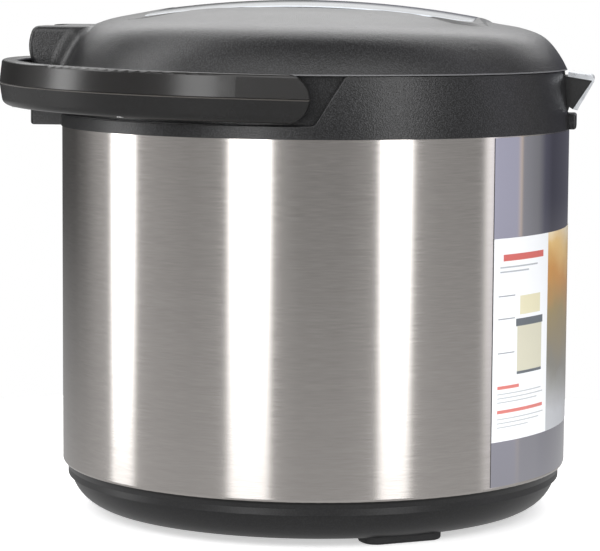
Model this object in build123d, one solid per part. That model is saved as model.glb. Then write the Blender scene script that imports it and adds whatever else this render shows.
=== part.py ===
"""Thermal cooker: an insulated steel body with a hinged domed lid, a front latch, a carry
handle that folds down behind, and an inner pot with its own lid.

Frame: +Z up, floor at z = 0, the cooker's axis at x = y = 0. The front (latch, label) faces -Y and
the hinge is at +Y. All lengths are in millimetres.
"""

import os
from math import cos, radians, sin, sqrt

from build123d import *

# Driving dimensions: the body
body_r = 140.0  # outside of the steel shell
shell_wall = 1.0
shell_curl_r = 1.6  # rolled lower edge of the shell
base_seam_z = 26.0  # shell meets base cover
shell_h = 186.0
collar_h = 31.6
collar_seam_z = base_seam_z + shell_h  # shell meets collar
lid_seam_z = collar_seam_z + collar_h  # collar meets lid
running_gap = 0.3  # between pieces that move past each other
fit_gap = 0.05  # radial, shaft in bore
overrun = 5.0  # how far a cut runs past what it cuts

# Base cover and feet
base_wall = 3.0
base_floor_z = 4.3
base_floor_in = 16.5  # its floor's edge, in from the shell
base_floor_r = body_r - base_floor_in
base_turn_in = 4.5  # where its side turns upright
base_turn_r = body_r - base_turn_in
base_turn_drop = 7.0
base_turn_z = base_seam_z - base_turn_drop
base_bow_share = 0.13  # of the side's run, how far it bows out
base_bow = (base_turn_r - base_floor_r) * base_bow_share
base_top_in = 1.3
base_top_r = body_r - base_top_in
base_spigot_h = 8.0
foot_count = 3
foot_first_deg = 90.0  # one foot is at the rear
foot_length = 45.0  # along the rim
foot_depth = 19.0  # across the rim
foot_in = 11.0
foot_centre_r = base_floor_r - foot_in
foot_corner_r = 8.0
foot_edge_r = 1.4
foot_seat = 1.5  # how far a foot sits up in its socket
base_screw_r = 3.6
base_screw_h = 2.2
base_screw_in = 35.5
base_screw_pcd_r = base_floor_r - base_screw_in
screw_slot_w = 1.0
screw_slot_depth = 1.0

# Liner, insulation
wall_space = 22.5  # from the shell's outside to the liner's inside
liner_in_r = body_r - wall_space
liner_wall = 0.8
liner_floor_rise = 16.0
liner_floor_z = base_seam_z + liner_floor_rise
liner_corner_r = 14.0
liner_flange_w = 4.0
liner_flange_r = liner_in_r + liner_flange_w
liner_rim_drop = 14.1
liner_rim_z = lid_seam_z - liner_rim_drop
foam_gap = 0.4
foam_clearance = 4.7  # over the base cover's floor
foam_floor_z = base_floor_z + base_wall + foam_clearance
foam_top_drop = 12.0
foam_top_z = collar_seam_z - foam_top_drop

# Collar
collar_proud = 0.6
collar_low_r = body_r + collar_proud
collar_lean = 2.4
collar_top_r = collar_low_r - collar_lean
collar_bulge = 0.5  # of its side, at half height
mouth_lap = 2.1  # the mouth's edge over the liner
mouth_r = liner_in_r + mouth_lap
mouth_wall = 3.6
collar_spigot_h = 9.0
spigot_wall = 3.2
collar_groove_rise = 3.0
collar_groove_z = collar_seam_z + collar_groove_rise

# Handle recess in the collar
recess_rise = 7.0
recess_z = collar_seam_z + recess_rise
recess_depth = 5.0
recess_r = collar_low_r - recess_depth
recess_front = 13.9  # ahead of the handle's pivot, at the recess's floor line
recess_slant_deg = 58.4
recess_corner_r = 4.0  # where its floor turns up into its front wall
recess_edge_r = 0.7

# Lid
lid_overhang = 0.6
lid_r = collar_top_r + lid_overhang
lid_gap = 0.5  # at the seam
lid_rise = 36.0  # from its lower edge to the crown's top, under the plate
lid_tilt_deg = 0.85
lid_wall = 2.8
lid_hollow_h = 24.0
lid_profile_shares = (  # share of lid_r, share of lid_rise, share of the tilt
    (1.0, 0.0, 0.0),
    (0.984, 0.126, 0.1),
    (0.964, 0.261, 0.3),
    (0.938, 0.403, 0.55),
    (0.902, 0.537, 0.8),
    (0.868, 0.608, 0.95),
    (0.81, 0.678, 1.1),
    (0.75, 0.722, 1.3),
    (0.68, 0.772, 1.45),
    (0.6, 0.838, 1.35),
    (0.45, 0.914, 1.1),
    (0.3, 0.964, 1.0),
    (0.15, 0.991, 1.0),
)
plate_crown_r = 540.0  # of the sphere that the plate follows
plate_proud = 0.9  # over the crown of the plastic below it
plate_sheet = 1.4
plate_edge_r = 0.5
plate_half_length = 89.3
plate_front_half_w = 50.0
plate_rear_half_w = 57.0
plate_rear_hollow = 9.4  # of its rear edge, at the middle
plate_front_corner_r = 13.0
plate_rear_corner_r = 5.0
plate_rim_w = 0.9  # plastic rim round the plate
plate_rim_top_drop = 6.0  # from the crown's top to where the rim's slope starts
plate_rim_low_drop = 12.0
plate_rim_slope = 1.75  # outward for each unit down

plug_gap = 0.3
plug_r = liner_in_r + plug_gap
plug_drop = 12.6
plug_z = lid_seam_z - plug_drop
plug_floor_w = 32.8
plug_floor_r = plug_r - plug_floor_w
plug_slope_w = 27.0
plug_roof_r = plug_floor_r - plug_slope_w
plug_roof_rise = 21.0
plug_roof_z = plug_z + plug_roof_rise
plug_sheet = 1.2
plug_flange_w = 13.2
plug_flange_r = plug_r + plug_flange_w
plug_flange_rise = 3.4
plug_flange_z = lid_seam_z + plug_flange_rise
lid_foam_gap = 0.4
gasket_gap = 0.8
gasket_in_r = mouth_r + gasket_gap
gasket_w = 4.1
gasket_out_r = gasket_in_r + gasket_w
gasket_lip = 1.6
lid_screw_count = 4
lid_screw_r = 2.9
lid_screw_h = 1.8
lid_screw_in = 3.2
lid_screw_pcd_r = plug_flange_r - lid_screw_in
lid_boss_r = 3.4

# Carry handle
pivot_rise = 13.6
pivot_z = recess_z + pivot_rise
handle_lid_gap = 1.2
handle_in_x = lid_r + handle_lid_gap  # inner face of the arms
handle_thick = 10.0
handle_low_relief = 0.6  # the lower shell stands back from the lid by this much more
handle_half_h = 12.35
handle_loop_y = 24.8  # centre of the loop, behind the pivot
handle_tilt_deg = 1.0
handle_lean_top = 1.3
handle_lean_low = 2.1
handle_corner_top_r = 1.8
handle_corner_low_r = 4.0
handle_corner_in_r = 1.6
handle_parting = 0.4
handle_wall = 2.4
handle_channel_depth = 7.5
pivot_pin_r = 4.0
pivot_pin_in_handle = 8.4
pivot_pin_in_collar = 6.0
washer_r = 9.0
handle_screw_angles_deg = (25.0, 65.0, 115.0, 155.0)
handle_screw_r = 2.6
handle_boss_r = 3.9
handle_screw_len = 12.0

# Hinge
hinge_out = 3.5
hinge_y = body_r + hinge_out
hinge_rise = 11.4
hinge_z = lid_seam_z + hinge_rise
knuckle_r = 11.3
collar_knuckle_r = 10.6
collar_knuckle_half = 15.2
hinge_pin_r = 3.0
hinge_pin_head_gap = 1.5
cover_half_w = 37.0
cover_run = 47.5  # of the cover ahead of the pin
cover_front_y = hinge_y - cover_run
cover_behind = 10.7  # of the cover behind the pin
cover_shoulder = 3.0  # how far its rear face stands ahead of that, above and below
cover_edge_r = 4.4
cover_side_edge_r = 3.2
cover_blend_r = 12.0  # hollow round where the cover meets the dome
block_half_w = 33.0
block_rise = 0.3
block_z = collar_seam_z + block_rise
block_top_drop = 2.6
block_top_z = lid_seam_z - block_top_drop
block_behind = 10.5
block_rear_y = hinge_y + block_behind
block_edge_r = 2.0
web_ahead = 6.0
web_front_y = hinge_y - web_ahead
web_rear_y = hinge_y + collar_knuckle_r - running_gap
spring_wire_r = 0.9
spring_turns = 3
spring_slot_half = 4.2

# Latch
latch_half_w = 16.6
latch_cap_half_w = 17.5
latch_cap_sheet = 2.4
latch_bay_half_w = 18.0
latch_bay_depth = 12.7
latch_bay_r = collar_top_r - latch_bay_depth
lug_h = 8.2
latch_bay_z = collar_seam_z + lug_h
latch_apex_out = 15.1
latch_apex_r = body_r + latch_apex_out
latch_apex_drop = 2.4
latch_apex_z = lid_seam_z - latch_apex_drop
latch_top_in = 0.6
latch_top_r = body_r - latch_top_in
latch_foot_out = 4.6
latch_foot_r = body_r + latch_foot_out
latch_foot_rise = 10.6
latch_foot_z = collar_seam_z + latch_foot_rise
latch_foot_cut_share = 0.25  # of the cap's sheet
latch_bend_r = 2.5
latch_pin_r = 1.5
latch_pin_in = 3.5
latch_pin_y = body_r - latch_pin_in  # ahead of the cooker's axis
latch_pin_rise = 12.2
latch_pin_z = collar_seam_z + latch_pin_rise
latch_barrel_r = 3.6
latch_arm_thick = 3.2
latch_nose_in = 8.1
latch_nose_r = body_r - latch_nose_in
latch_nose_h = 2.4
latch_pin_seat = 3.0
catch_half_w = 9.0
catch_thick = 2.6
catch_tooth = 1.7
catch_tooth_h = 2.0
catch_gap = 0.8  # between the tooth and the latch's nose
catch_drop = 7.4
catch_z = lid_seam_z - catch_drop
lug_half_w = 13.0
lug_out = 3.6
lug_edge_r = 1.5
latch_spring_wire_r = 0.5
latch_spring_turns = 4
latch_slot_half = 3.4

# Film and label on the front of the shell
film_half_deg = 42.4
film_thick = 0.25
film_margin = 0.6
label_rise = 26.0
label_z = base_seam_z + label_rise
label_h = 107.0
label_thick = 0.2

# Inner pot
pot_gap = 7.5
pot_out_r = liner_in_r - pot_gap
pot_wall = 1.2
pot_rim_w = 3.2
pot_rim_r = pot_out_r + pot_rim_w
pot_rim_h = 2.4
pot_rim_drop = 12.5
pot_rim_z = liner_rim_z - pot_rim_drop
pot_corner_r = 12.0
pot_disc_h = 6.0
pot_disc_in = 18.0
pot_disc_r = pot_out_r - pot_disc_in
pot_disc_edge_r = 1.5
ear_half_w = 9.0
ear_sheet = 1.6
ear_pad_h = 17.0
ear_pad_drop = 21.0
ear_pad_z = pot_rim_z - ear_pad_drop
ear_out = 6.6
ear_out_r = pot_out_r + ear_out
ear_rise = 11.0
ear_top_z = pot_rim_z + ear_rise
rivet_r = 3.0
rivet_head = 1.0
rivet_pitch = 8.4
bail_wire_r = 1.9
bail_loop_out = 1.8
bail_loop_r = pot_out_r + bail_loop_out
bail_rise = 6.4
bail_z = pot_rim_z + bail_rise
grip_r = 3.9
grip_half_deg = 24.0

# Inner lid
inner_lid_lap = 2.6
inner_lid_r = pot_out_r + inner_lid_lap
inner_lid_sheet = 1.0
inner_lid_step_in = 5.0
inner_lid_step_r = pot_out_r - inner_lid_step_in
inner_lid_rise = 5.0
inner_lid_seat = 1.2
knob_r = 17.0
knob_h = 15.0
knob_neck_r = 9.0
knob_edge_r = 3.0
knob_screw_r = 2.5
knob_screw_head_r = 5.0
knob_screw_head_h = 2.0


def solid_of_revolution(points):
    """Turn a closed outline of (radius, height) points about the cooker's axis."""
    return revolve(Plane.XZ * make_face(Polyline(*points, close=True)), Axis.Z)


def tube(r_out, r_in, z_low, z_high):
    """A plain ring between two heights."""
    return solid_of_revolution([(r_in, z_low), (r_out, z_low), (r_out, z_high), (r_in, z_high)])


def disc(r, z_low, z_high, x=0, y=0):
    """An upright cylinder between two heights."""
    body = Cylinder(r, z_high - z_low, align=(Align.CENTER, Align.CENTER, Align.MIN))
    return Pos(x, y, z_low) * body


def box_between(low, high):
    """A box given by its lowest and highest corners."""
    size = [b - a for a, b in zip(low, high)]
    return Pos(*low) * Box(*size, align=(Align.MIN, Align.MIN, Align.MIN))


def rod_along_x(r, x_low, x_high, y, z):
    """A round bar along X between two places."""
    rod = Cylinder(r, x_high - x_low, align=(Align.CENTER, Align.CENTER, Align.MIN))
    return Pos(x_low, y, z) * Rot(0, 90, 0) * rod


def side_profile(points, half_width):
    """A plate whose outline is given as (y, z) points, as wide on each side of x = 0."""
    return extrude(Plane.YZ * make_face(Polyline(*points, close=True)), half_width, both=True)


def level_rims(piece):
    """The round edges that lie level, lowest first."""
    rims = piece.edges().filter_by(GeomType.CIRCLE)
    return rims.filter_by(lambda edge: edge.bounding_box().size.Z < fit_gap).sort_by(Axis.Z)


def around(piece, angle_deg):
    """The same piece turned about the cooker's axis."""
    return Rot(0, 0, angle_deg) * piece


# Body


def make_outer_shell():
    """Steel cylinder with its lower edge rolled in."""
    inner = body_r - shell_wall
    straight = Line((body_r, base_seam_z + shell_curl_r), (body_r, collar_seam_z))
    curl = RadiusArc(
        (body_r - shell_curl_r, base_seam_z), (body_r, base_seam_z + shell_curl_r), -shell_curl_r
    )
    inner_low = inner - shell_curl_r
    rest = Polyline(
        (body_r, collar_seam_z),
        (inner, collar_seam_z),
        (inner, base_seam_z + shell_wall + shell_curl_r),
        (inner_low, base_seam_z + shell_wall),
        (inner_low, base_seam_z),
        (body_r - shell_curl_r, base_seam_z),
    )
    return revolve(Plane.XZ * make_face(straight + curl + rest), Axis.Z)


def base_outline(inset):
    """The base cover's side, moved in by a wall, from its floor to its top."""
    low = (base_floor_r - inset, base_floor_z + inset)
    turn = (base_turn_r - inset, base_turn_z)
    half = ((low[0] + turn[0]) / 2 + base_bow, (low[1] + turn[1]) / 2 - base_bow)
    top = (base_top_r - inset, base_seam_z)
    return ThreePointArc(low, half, turn) + Line(turn, top), low, top


def make_base_cover():
    """Dished cover under the shell, with a spigot up into it and sockets for the feet."""
    side, low, top = base_outline(0)
    body = revolve(
        Plane.XZ * make_face(side + Polyline(top, (0, base_seam_z), (0, base_floor_z), low)), Axis.Z
    )
    side, low, top = base_outline(base_wall)
    inside = revolve(
        Plane.XZ
        * make_face(side + Polyline(top, (0, base_seam_z), (0, base_floor_z + base_wall), low)),
        Axis.Z,
    )
    spigot_r = body_r - shell_wall - shell_curl_r - running_gap
    spigot = tube(spigot_r, spigot_r - base_wall, base_turn_z, base_seam_z + base_spigot_h)
    cover = (body - inside) + spigot
    for foot_number in range(foot_count):
        cover -= around(foot_blank(foot_depth, foot_length, 0), foot_angle(foot_number))
        screw_hole = disc(
            base_screw_r, base_floor_z - overrun, base_floor_z + base_screw_h, base_screw_pcd_r
        )
        cover -= around(screw_hole, foot_angle(foot_number) + 180 / foot_count)
    return cover


def foot_angle(number):
    """Where a foot is, from +X."""
    return foot_first_deg + number * 360 / foot_count


def foot_blank(depth, length, z_low):
    """Block with rounded corners, at angle 0."""
    outline = RectangleRounded(depth, length, foot_corner_r)
    block = extrude(outline, base_floor_z + foot_seat - z_low)
    return Pos(foot_centre_r, 0, z_low) * block


def make_foot(number):
    """Rubber foot in its socket, with its lower edge rounded."""
    foot = foot_blank(foot_depth, foot_length, 0)
    foot = fillet(foot.edges().group_by(Axis.Z)[0], foot_edge_r)
    return around(foot, foot_angle(number))


def make_base_screw(number):
    """Screw with a slotted head, up in the base."""
    head = disc(base_screw_r - fit_gap, base_floor_z, base_floor_z + base_screw_h, base_screw_pcd_r)
    slot = Pos(base_screw_pcd_r, 0, base_floor_z) * Box(
        screw_slot_w, 2 * base_screw_r, 2 * screw_slot_depth
    )
    return around(head - slot, foot_angle(number) + 180 / foot_count)


def make_inner_liner():
    """Deep-drawn steel liner with a flange under the collar's mouth."""
    out_r = liner_in_r + liner_wall
    out_z = liner_floor_z - liner_wall
    outside = solid_of_revolution([(0, out_z), (out_r, out_z), (out_r, liner_rim_z), (0, liner_rim_z)])
    outside = fillet(outside.edges().group_by(Axis.Z)[0], liner_corner_r)
    inside = solid_of_revolution(
        [(0, liner_floor_z), (liner_in_r, liner_floor_z), (liner_in_r, liner_rim_z + overrun)]
        + [(0, liner_rim_z + overrun)]
    )
    inside = fillet(inside.edges().group_by(Axis.Z)[0], liner_corner_r - liner_wall)
    flange = tube(liner_flange_r, liner_in_r, liner_rim_z - liner_wall, liner_rim_z)
    return (outside - inside) + flange


def make_insulation_wall():
    """Foam between liner and shell."""
    out_r = body_r - shell_wall - foam_gap - collar_spigot_clear()
    return tube(out_r, liner_in_r + liner_wall + foam_gap, liner_floor_z, foam_top_z)


def collar_spigot_clear():
    """Room that the base's spigot takes inside the shell."""
    return shell_curl_r + base_wall + running_gap


def make_insulation_floor():
    """Foam disc under the liner."""
    out_r = base_floor_r + base_bow - base_wall - foam_gap
    return disc(out_r, foam_floor_z, liner_floor_z - liner_wall - foam_gap)


# Collar


def recess_cutter(grow=0):
    """Space for the handle around the rear half, with its slanting front wall."""
    ring = tube(body_r + handle_thick + overrun, recess_r - grow, recess_z, lid_seam_z + overrun)
    height = lid_seam_z + overrun - recess_z
    front_top = -recess_front - height / sin(radians(recess_slant_deg)) * cos(radians(recess_slant_deg))
    outline = [
        (-recess_front, recess_z),
        (front_top, lid_seam_z + overrun),
        (2 * body_r, lid_seam_z + overrun),
        (2 * body_r, recess_z),
    ]
    front = make_face(Polyline(*outline, close=True))
    corner = front.vertices().group_by(Axis.Y)[0].sort_by(Axis.X)[0]
    front = fillet(corner, recess_corner_r)
    return ring & extrude(Plane.YZ * front, 2 * body_r, both=True)


def make_latch_bay():
    """Pocket in the front of the collar for the latch."""
    return box_between(
        (-latch_bay_half_w, -body_r - overrun, latch_bay_z),
        (latch_bay_half_w, -latch_bay_r, lid_seam_z + overrun),
    )


def on_recess_rim(edge):
    """Whether an edge runs where the handle's recess leaves the collar's side."""
    middle = edge.position_at(1 / 2)
    side_r = sqrt(middle.X**2 + middle.Y**2)
    in_band = recess_z - fit_gap < middle.Z < lid_seam_z - fit_gap
    return in_band and side_r > recess_r + recess_depth / 2


def make_collar():
    """Moulded ring over the shell: mouth, handle recess, hinge block and latch bay."""
    mid_r = (collar_low_r + collar_top_r) / 2 + collar_bulge
    mid_z = (collar_seam_z + lid_seam_z) / 2
    spigot_r = body_r - shell_wall - running_gap
    spigot_z = collar_seam_z - collar_spigot_h
    side = ThreePointArc((collar_low_r, collar_seam_z), (mid_r, mid_z), (collar_top_r, lid_seam_z))
    rest = Polyline(
        (collar_top_r, lid_seam_z),
        (mouth_r, lid_seam_z),
        (mouth_r, liner_rim_z + fit_gap),
        (liner_flange_r + fit_gap, liner_rim_z + fit_gap),
        (liner_flange_r + fit_gap, spigot_z),
        (liner_flange_r + mouth_wall, spigot_z),
        (liner_flange_r + mouth_wall, collar_groove_z),
        (spigot_r - spigot_wall, collar_groove_z),
        (spigot_r - spigot_wall, spigot_z),
        (spigot_r, spigot_z),
        (spigot_r, collar_seam_z),
        (collar_low_r, collar_seam_z),
    )
    collar = revolve(Plane.XZ * make_face(side + rest), Axis.Z)
    collar -= recess_cutter()
    collar = fillet(collar.edges().filter_by(on_recess_rim), recess_edge_r)
    block = box_between(
        (-block_half_w, recess_r - spigot_wall, block_z), (block_half_w, block_rear_y, block_top_z)
    )
    block = fillet(block.edges().group_by(Axis.Y)[-1], block_edge_r)
    web = box_between(
        (-collar_knuckle_half, web_front_y, block_top_z - block_edge_r),
        (collar_knuckle_half, web_rear_y, hinge_z),
    )
    knuckle = rod_along_x(
        collar_knuckle_r, -collar_knuckle_half, collar_knuckle_half, hinge_y, hinge_z
    )
    collar += block + web + knuckle
    collar -= rod_along_x(hinge_pin_r, -cover_half_w, cover_half_w, hinge_y, hinge_z)
    collar -= rod_along_x(
        collar_knuckle_r + overrun, -spring_slot_half, spring_slot_half, hinge_y, hinge_z
    ) & box_between(
        (-spring_slot_half, web_front_y - overrun, block_top_z + block_edge_r),
        (spring_slot_half, hinge_y + hinge_pin_r + 3 * spring_wire_r, hinge_z + knuckle_r + overrun),
    )
    lug = box_between(
        (-lug_half_w, -collar_low_r - lug_out, collar_seam_z),
        (lug_half_w, -collar_low_r + lug_out, collar_seam_z + lug_h),
    )
    collar += fillet(lug.edges().group_by(Axis.Y)[0], lug_edge_r)
    collar -= make_latch_bay()
    pin_reach = latch_bay_half_w + latch_pin_seat
    collar -= rod_along_x(latch_pin_r, -pin_reach, pin_reach, -latch_pin_y, latch_pin_z)
    for side_sign in (-1, 1):
        collar -= handle_pin(side_sign)
    return collar


# Handle


def handle_half(upper):
    """One shell of the handle, level, with its pivot at the origin."""
    sign = 1 if upper else -1
    lean = handle_lean_top if upper else handle_lean_low
    corner = handle_corner_top_r if upper else handle_corner_low_r
    out_x = handle_in_x + handle_thick
    in_x = handle_in_x + (0 if upper else handle_low_relief)
    edge_z = sign * handle_half_h
    outline = make_face(
        Polyline(
            (in_x, 0),
            (out_x - handle_parting, 0),
            (out_x, sign * handle_parting),
            (out_x - lean, edge_z),
            (in_x, edge_z),
            close=True,
        )
    )
    edge_points = outline.vertices().group_by(Axis.Y)[-1 if upper else 0].sort_by(Axis.X)
    outline = fillet(edge_points[-1], corner)
    edge_points = outline.vertices().group_by(Axis.Y)[-1 if upper else 0].sort_by(Axis.X)
    outline = fillet(edge_points[0], handle_corner_in_r)
    hollow = make_face(
        Polyline(
            (in_x + handle_wall, 0),
            (out_x - handle_wall - handle_parting, 0),
            (out_x - handle_wall - lean, sign * handle_channel_depth),
            (in_x + handle_wall, sign * handle_channel_depth),
            close=True,
        )
    )
    loop_axis = Axis((0, handle_loop_y, 0), (0, 0, 1))
    at_loop = Plane.XZ.offset(-handle_loop_y)
    half = revolve(at_loop * outline, loop_axis, 180)
    channel = revolve(at_loop * hollow, loop_axis, 180)
    arm = extrude(at_loop * outline, handle_loop_y + handle_half_h)
    half += arm + mirror(arm, Plane.YZ)
    for angle in handle_screw_angles_deg:
        x, y = screw_place(angle)
        channel -= disc(handle_boss_r, -handle_half_h, handle_half_h, x, y)
    half -= channel
    round_end = rod_along_x(
        handle_half_h, -out_x - overrun, out_x + overrun, 0, 0
    ) + box_between(
        (-out_x - overrun, 0, -handle_half_h),
        (out_x + overrun, handle_loop_y + out_x + overrun, handle_half_h),
    )
    half &= round_end
    for side_sign in (-1, 1):
        bore_end = handle_in_x + pivot_pin_in_handle + running_gap
        x_low, x_high = sorted((side_sign * (handle_in_x - overrun), side_sign * bore_end))
        half -= rod_along_x(pivot_pin_r + fit_gap, x_low, x_high, 0, 0)
    for angle in handle_screw_angles_deg:
        x, y = screw_place(angle)
        half -= disc(
            handle_screw_r, -handle_half_h - overrun, handle_screw_len - handle_half_h, x, y
        )
    return half


def screw_place(angle_deg):
    """Middle of the handle's bar at an angle round the loop."""
    r = handle_in_x + handle_thick / 2 - handle_lean_low / 2
    return r * cos(radians(angle_deg)), handle_loop_y + r * sin(radians(angle_deg))


def handle_place():
    """From the level handle to where it lies."""
    return Pos(0, 0, pivot_z) * Rot(handle_tilt_deg, 0, 0)


def make_handle_screw(number):
    """Screw up through the lower shell into the upper one."""
    x, y = screw_place(handle_screw_angles_deg[number])
    low = -handle_half_h
    screw = disc(handle_screw_r - fit_gap, low, low + handle_screw_len, x, y)
    slot = Pos(x, y, low) * Box(screw_slot_w, 2 * handle_screw_r, 2 * screw_slot_depth)
    return handle_place() * (screw - slot)


def handle_pin(side_sign):
    """Fixed pin that an arm turns on."""
    x_low = recess_r - pivot_pin_in_collar
    x_high = handle_in_x + pivot_pin_in_handle
    x_low, x_high = sorted((side_sign * x_low, side_sign * x_high))
    return rod_along_x(pivot_pin_r, x_low, x_high, 0, pivot_z)


def make_handle_washer(side_sign):
    """Washer between the recess's floor and the arm."""
    x_low, x_high = sorted((side_sign * (recess_r - spigot_wall), side_sign * (handle_in_x - running_gap)))
    washer = rod_along_x(washer_r, x_low, x_high, 0, pivot_z)
    washer -= tube(recess_r, 0, recess_z - overrun, lid_seam_z + overrun)
    return washer - rod_along_x(pivot_pin_r, x_low - overrun, x_high + overrun, 0, pivot_z)


# Lid


def lid_base_z():
    """Height of the lid's lower edge."""
    return lid_seam_z + lid_gap


def lid_dome(inset):
    """The dome, through circles in planes that tilt more and more to the top."""
    rings = []
    for r_share, z_share, tilt_share in lid_profile_shares:
        tilt = radians(lid_tilt_deg * tilt_share)
        plane = Plane(
            origin=(0, 0, lid_base_z() + lid_rise * z_share - inset * z_share),
            x_dir=(1, 0, 0),
            z_dir=(0, -sin(tilt), cos(tilt)),
        )
        rings.append(plane * Circle(lid_r * r_share - inset))
    return loft(rings)


def tilted(height=0):
    """Frame of the lid's crown, raised by a height along its own normal."""
    tilt = radians(lid_tilt_deg)
    top = (0, 0, lid_base_z() + lid_rise)
    return Plane(origin=top, x_dir=(1, 0, 0), z_dir=(0, -sin(tilt), cos(tilt))).offset(height)


def cover_block():
    """Outside of the hinge cover: flat on top, bowed behind, with its upper edges rounded."""
    top_z = hinge_z + knuckle_r
    low_z = lid_base_z()
    rear_y = hinge_y + cover_behind
    shoulder_y = rear_y - cover_shoulder
    side = make_face(
        Polyline((shoulder_y, low_z), (cover_front_y, low_z), (cover_front_y, top_z), (shoulder_y, top_z))
        + ThreePointArc((shoulder_y, top_z), (rear_y, hinge_z), (shoulder_y, low_z))
    )
    side = fillet(side.vertices().group_by(Axis.Y)[-1].sort_by(Axis.X)[-1], cover_edge_r)
    block = extrude(Plane.YZ * side, cover_half_w, both=True)
    sides = block.edges().filter_by(lambda edge: abs(abs(edge.center().X) - cover_half_w) < fit_gap)
    upper = sides.filter_by(
        lambda edge: edge.bounding_box().max.Z > hinge_z and edge.center().Y > cover_front_y + fit_gap
    )
    return fillet(upper, cover_side_edge_r)


def blended_dome():
    """Dome and hinge cover in one, with a hollow round between them."""
    body = lid_dome(0) + cover_block()
    seam = body.edges().filter_by(GeomType.BSPLINE)
    seam = seam.filter_by(
        lambda edge: edge.center().Z > lid_base_z() + fit_gap
        and edge.center().Y > cover_front_y
        and abs(edge.center().X) < cover_half_w + fit_gap
    )
    return fillet(seam, cover_blend_r)


def make_lid_cover():
    """Moulded outside of the lid, with the plate's seat, the hinge cover and its knuckles."""
    cover = blended_dome()
    cover += plate_rim()
    cover -= lid_dome(lid_wall) & disc(lid_r, lid_base_z() - overrun, lid_base_z() + lid_hollow_h)
    cover -= plate_block(fit_gap) - crown_ball(plate_sheet + fit_gap)
    skirt_in = box_between(
        (-cover_half_w, cover_front_y - overrun, lid_base_z() - overrun),
        (cover_half_w, sqrt(plug_flange_r**2 - cover_half_w**2), plug_flange_z),
    )
    cover -= skirt_in
    for number in range(lid_screw_count):
        boss_top_z = lid_base_z() + lid_hollow_h * 2 / 3
        boss = disc(lid_boss_r, plug_flange_z + plug_sheet, boss_top_z, lid_screw_pcd_r)
        cover += around(boss, lid_screw_angle(number)) & lid_dome(0)
        cover -= lid_screw_shank(number)
    half = collar_knuckle_half + running_gap
    notch_r = knuckle_r + running_gap
    notch = rod_along_x(notch_r, -half, half, hinge_y, hinge_z) + box_between(
        (-half, hinge_y - notch_r, lid_base_z() - overrun), (half, hinge_y + notch_r + overrun, hinge_z)
    )
    notch += box_between(
        (-half, hinge_y, lid_base_z() - overrun),
        (half, hinge_y + notch_r + overrun, hinge_z + notch_r + overrun),
    )
    cover -= notch
    pin_half = cover_half_w - hinge_pin_head_gap
    cover -= rod_along_x(hinge_pin_r + fit_gap, -pin_half, pin_half, hinge_y, hinge_z)
    return cover


def plate_outline(grow):
    """The plate from above, grown all round: a panel with a hollow rear edge."""
    rear_y = plate_half_length
    outline = make_face(
        Polyline(
            (-plate_rear_half_w, rear_y),
            (-plate_front_half_w, -plate_half_length),
            (plate_front_half_w, -plate_half_length),
            (plate_rear_half_w, rear_y),
        )
        + ThreePointArc(
            (plate_rear_half_w, rear_y), (0, rear_y - plate_rear_hollow), (-plate_rear_half_w, rear_y)
        )
    )
    outline = fillet(outline.vertices().group_by(Axis.Y)[0], plate_front_corner_r)
    outline = fillet(outline.vertices().group_by(Axis.Y)[-1], plate_rear_corner_r)
    return offset(outline, grow) if grow else outline


def plate_block(grow):
    """Upright block with the plate's outline, through the lid's crown."""
    return extrude(tilted() * plate_outline(grow), plate_rim_low_drop, both=True)


def crown_ball(inset):
    """Ball whose top is the plate's outer face, made smaller by an inset."""
    return tilted(plate_proud - plate_crown_r) * Sphere(plate_crown_r - inset)


def plate_rim():
    """Sloping rim of the plastic round the plate, seen where the lid falls away in front."""
    end_drop = plate_crown_r - sqrt(plate_crown_r**2 - plate_half_length**2)
    levels = []
    for drop in (plate_rim_low_drop, plate_rim_top_drop):
        grow = plate_rim_w + plate_rim_slope * (drop - end_drop)
        levels.append(tilted(plate_proud - drop) * plate_outline(grow))
    return loft(levels) & crown_ball(fit_gap)


def make_lid_top_plate():
    """Brushed panel that follows the lid's crown, with its edge rounded."""
    plate = (plate_block(0) & crown_ball(0)) - crown_ball(plate_sheet)
    centre = tilted(plate_proud - plate_crown_r).origin
    rim = plate.edges().filter_by(
        lambda edge: (edge.position_at(1 / 2) - centre).length > plate_crown_r - fit_gap
    )
    return fillet(rim, plate_edge_r)


def plug_outline(inset):
    """The lid's inner plate from its flange to the axis, moved up by a sheet."""
    return [
        (plug_r - inset, plug_flange_z),
        (plug_r - inset, plug_z + inset),
        (plug_floor_r, plug_z + inset),
        (plug_roof_r, plug_roof_z + inset),
        (0, plug_roof_z + inset),
    ]


def make_lid_inner_plate():
    """Pressed steel plate that closes the lid from below."""
    low = plug_outline(0)
    high = plug_outline(plug_sheet)
    flange = [
        (plug_flange_r, plug_flange_z),
        (plug_flange_r, plug_flange_z + plug_sheet),
        (plug_r - plug_sheet, plug_flange_z + plug_sheet),
    ]
    plate = solid_of_revolution(low + high[:0:-1] + flange[::-1])
    for number in range(lid_screw_count):
        plate -= lid_screw_shank(number)
    return plate


def lid_screw_shank(number):
    """Hole for one of the screws through the flange."""
    shank = disc(lid_screw_r / 2, plug_flange_z - overrun, plug_flange_z + overrun, lid_screw_pcd_r)
    return around(shank, lid_screw_angle(number))


def lid_screw_angle(number):
    """Where a lid screw is, from +X."""
    return (number + 1 / 2) * 360 / lid_screw_count


def make_lid_screw(number):
    """Screw that holds the inner plate up to the cover."""
    head = disc(lid_screw_r, plug_flange_z - lid_screw_h, plug_flange_z, lid_screw_pcd_r)
    head += disc(
        lid_screw_r / 2 - fit_gap, plug_flange_z - fit_gap, plug_flange_z + overrun - fit_gap, lid_screw_pcd_r
    )
    return around(head, lid_screw_angle(number))


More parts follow.
